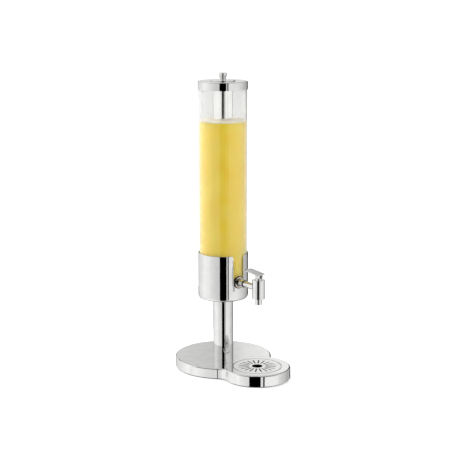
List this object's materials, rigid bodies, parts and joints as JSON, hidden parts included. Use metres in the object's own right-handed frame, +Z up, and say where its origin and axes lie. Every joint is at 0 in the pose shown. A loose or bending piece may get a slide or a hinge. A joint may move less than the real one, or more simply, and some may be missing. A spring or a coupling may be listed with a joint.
{
  "type": "beer tower dispenser",
  "caption": "Drinks tower: round base with drip tray, column and holder cup, tall clear container with lid, hanging ice tube and a lever tap.",
  "frame": {"origin": "where the column's axis meets the standing surface, on the anti-slip pad's underside", "axes": "+Z up along the column and container, -Y to the front, where the tap and the drip tray are"},
  "size_m": [0.245, 0.341, 0.75],
  "materials": {
    "polished_steel": "mirror-polished stainless steel",
    "satin_steel": "plain rolled or turned stainless steel",
    "cast_iron": "raw casting",
    "clear_plastic": "clear moulded polycarbonate",
    "black_rubber": "matt black rubber",
    "pale_silicone": "matt translucent silicone"
  },
  "bodies": {
    "base": {"base_shell": "polished_steel", "ballast_plate": "cast_iron", "bottom_plate": "satin_steel", "bottom_screws": "satin_steel", "anti_slip_pad": "black_rubber", "column_tube": "polished_steel", "column_foot_plug": "satin_steel", "column_head_plug": "satin_steel", "tie_rod": "satin_steel", "rod_washer": "satin_steel", "rod_nut": "satin_steel", "holder_cup": "polished_steel", "cup_washer": "satin_steel", "cup_screw": "satin_steel", "seat_pad": "pale_silicone"},
    "drip_tray": {"drip_tray": "satin_steel"},
    "drip_grid": {"drip_grid": "polished_steel"},
    "container": {"container": "clear_plastic", "tap_shank": "polished_steel", "tap_outer_gasket": "pale_silicone", "tap_inner_gasket": "pale_silicone", "tap_lock_nut": "satin_steel", "tap_joint_ring": "black_rubber", "tap_body": "polished_steel", "nozzle": "polished_steel", "bonnet": "polished_steel", "stem_seal": "black_rubber"},
    "valve": {"valve_stem": "satin_steel", "valve_seal": "black_rubber", "valve_spring": "satin_steel"},
    "lever": {"tap_lever": "polished_steel", "lever_pin": "satin_steel"},
    "lid": {"lid": "polished_steel", "lid_gasket": "pale_silicone"},
    "ice_tube": {"ice_tube": "polished_steel"},
    "ice_cap": {"ice_tube_cap": "polished_steel", "cap_seal": "pale_silicone", "lid_knob": "polished_steel", "knob_screw": "satin_steel"}
  },
  "joints": [
    {"name": "drip_tray_lift", "type": "slide", "parent": "base", "child": "drip_tray", "axis": [0, 0, 1], "range_m": [0, 0.05]},
    {"name": "drip_grid_lift", "type": "slide", "parent": "drip_tray", "child": "drip_grid", "axis": [0, 0, 1], "range_m": [0, 0.04]},
    {"name": "container_lift", "type": "slide", "parent": "base", "child": "container", "axis": [0, 0, 1], "range_m": [0, 0.13]},
    {"name": "lever_swing", "type": "hinge", "parent": "valve", "child": "lever", "pos_m": [0, -0.14, 0.262], "axis": [1, 0, 0], "range_deg": [0, 35]},
    {"name": "valve_lift", "type": "slide", "parent": "container", "child": "valve", "axis": [0, 0, 1], "range_m": [0, 0.003], "stiffness_N_per_m": 1200, "springref_m": -0.005, "deforming": ["valve_spring"]},
    {"name": "lid_lift", "type": "slide", "parent": "container", "child": "lid", "axis": [0, 0, 1], "range_m": [0, 0.42]},
    {"name": "ice_tube_lift", "type": "slide", "parent": "lid", "child": "ice_tube", "axis": [0, 0, 1], "range_m": [0, 0.42]},
    {"name": "ice_cap_lift", "type": "slide", "parent": "ice_tube", "child": "ice_cap", "axis": [0, 0, 1], "range_m": [0, 0.05]}
  ],
  "couplings": [
    {"joint": "lever_swing", "follows": "valve_lift", "rad_per_m": 203.62}
  ]
}
